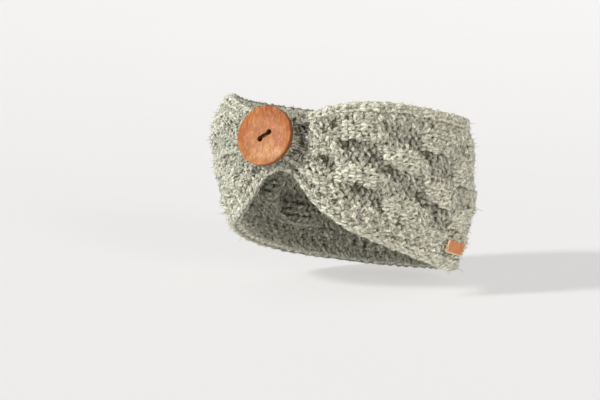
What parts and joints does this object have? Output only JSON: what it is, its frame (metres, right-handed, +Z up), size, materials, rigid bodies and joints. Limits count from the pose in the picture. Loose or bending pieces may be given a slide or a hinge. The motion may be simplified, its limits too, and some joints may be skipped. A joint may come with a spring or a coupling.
{
  "type": "knitted ear warmer headband",
  "caption": "Wide knitted ear warmer band, gathered at the forehead behind a round wooden button, with a small leather tag.",
  "frame": {"origin": "middle of the opening that the head goes in, as worn", "axes": "+Z up, -Y towards the wearer's forehead, +X towards the wearer's left ear"},
  "size_m": [0.1714, 0.2048, 0.1293],
  "materials": {
    "wool": "chunky hand knit in a marled grey wool, light grey-cream with dark grey-green flecks and a soft fuzz",
    "wood": "satin orange-brown wood with a fine upright grain",
    "thread": "dark brown twisted thread",
    "leather": "tan leather with pale raw edges, bare"
  },
  "bodies": {
    "root": {"band": "wool", "button": "wood", "button_thread": "thread", "leather_tag": "leather"}
  },
  "joints": []
}
